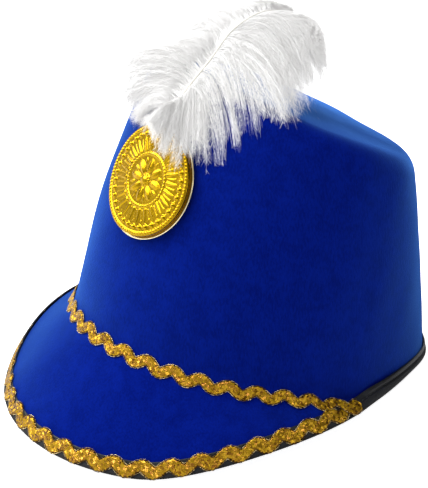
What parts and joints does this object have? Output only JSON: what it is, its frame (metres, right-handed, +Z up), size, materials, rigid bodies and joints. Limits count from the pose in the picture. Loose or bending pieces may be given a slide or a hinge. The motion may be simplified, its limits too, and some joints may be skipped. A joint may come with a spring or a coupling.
{
  "type": "marching band hat",
  "caption": "Tall moulded felt band hat with a sloping flat top and peak, bound lower edge, zig-zag gold braid, round relief badge and a curled feather plume.",
  "frame": {"origin": "middle of the hat's overall length and width, on the surface that its lower edge rests on", "axes": "+Z up, -Y towards the front of the peak, +X towards the wearer's left"},
  "size_m": [0.2036, 0.2396, 0.2036],
  "materials": {
    "felt": "blue stiffened felt with a soft nap",
    "tape": "black ribbed tape, slight sheen",
    "braid": "gold glitter zig-zag braid",
    "badge": "metallic gold plastic",
    "feather": "white soft feather"
  },
  "bodies": {
    "root": {"felt_body": "felt", "edge_binding": "tape", "join_braid": "braid", "edge_braid": "braid", "badge": "badge", "plume": "feather"}
  },
  "joints": []
}
